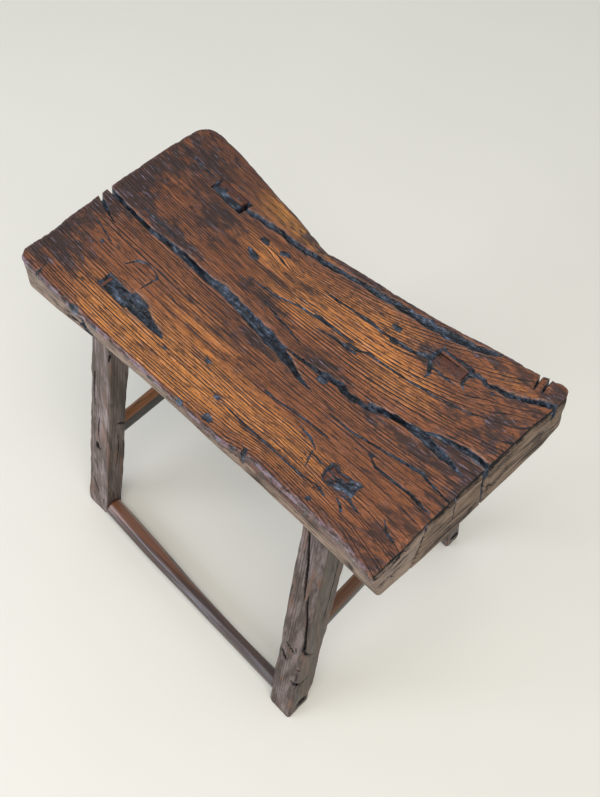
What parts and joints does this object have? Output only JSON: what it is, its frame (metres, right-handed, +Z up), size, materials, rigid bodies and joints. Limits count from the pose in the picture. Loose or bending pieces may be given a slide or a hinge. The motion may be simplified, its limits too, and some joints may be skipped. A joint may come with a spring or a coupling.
{
  "type": "wooden stool",
  "caption": "Rustic oak stool: thick dished slab seat on splayed square legs with wedged through tenons, low round side stretchers and higher flat end stretchers.",
  "frame": {"origin": "centre of the stool's bounding box on the floor, under the middle of the seat", "axes": "+Z up, X along the seat's length, Y across the seat; the side that faces the viewer in the picture is -Y, and the end with the waney back corner's saw slots is +X"},
  "size_m": [0.5013, 0.3501, 0.4895],
  "materials": {
    "waxed_oak_top": "waxed, worn orange-brown oak with dark splits, semi-gloss",
    "aged_oak_leg": "weathered grey-brown oak, dull",
    "rubbed_oak_rail": "dark oak rubbed smooth by feet, semi-gloss",
    "dark_oak_wedge": "dark end grain, dull"
  },
  "bodies": {
    "root": {"seat": "waxed_oak_top", "leg_front_left": "aged_oak_leg", "leg_front_right": "aged_oak_leg", "leg_back_left": "aged_oak_leg", "leg_back_right": "aged_oak_leg", "wedge_front_left": "dark_oak_wedge", "wedge_front_right": "dark_oak_wedge", "wedge_back_left": "dark_oak_wedge", "shim_back_right": "dark_oak_wedge", "stretcher_front": "rubbed_oak_rail", "stretcher_back": "rubbed_oak_rail", "stretcher_left_end": "rubbed_oak_rail", "stretcher_right_end": "rubbed_oak_rail"}
  },
  "joints": []
}
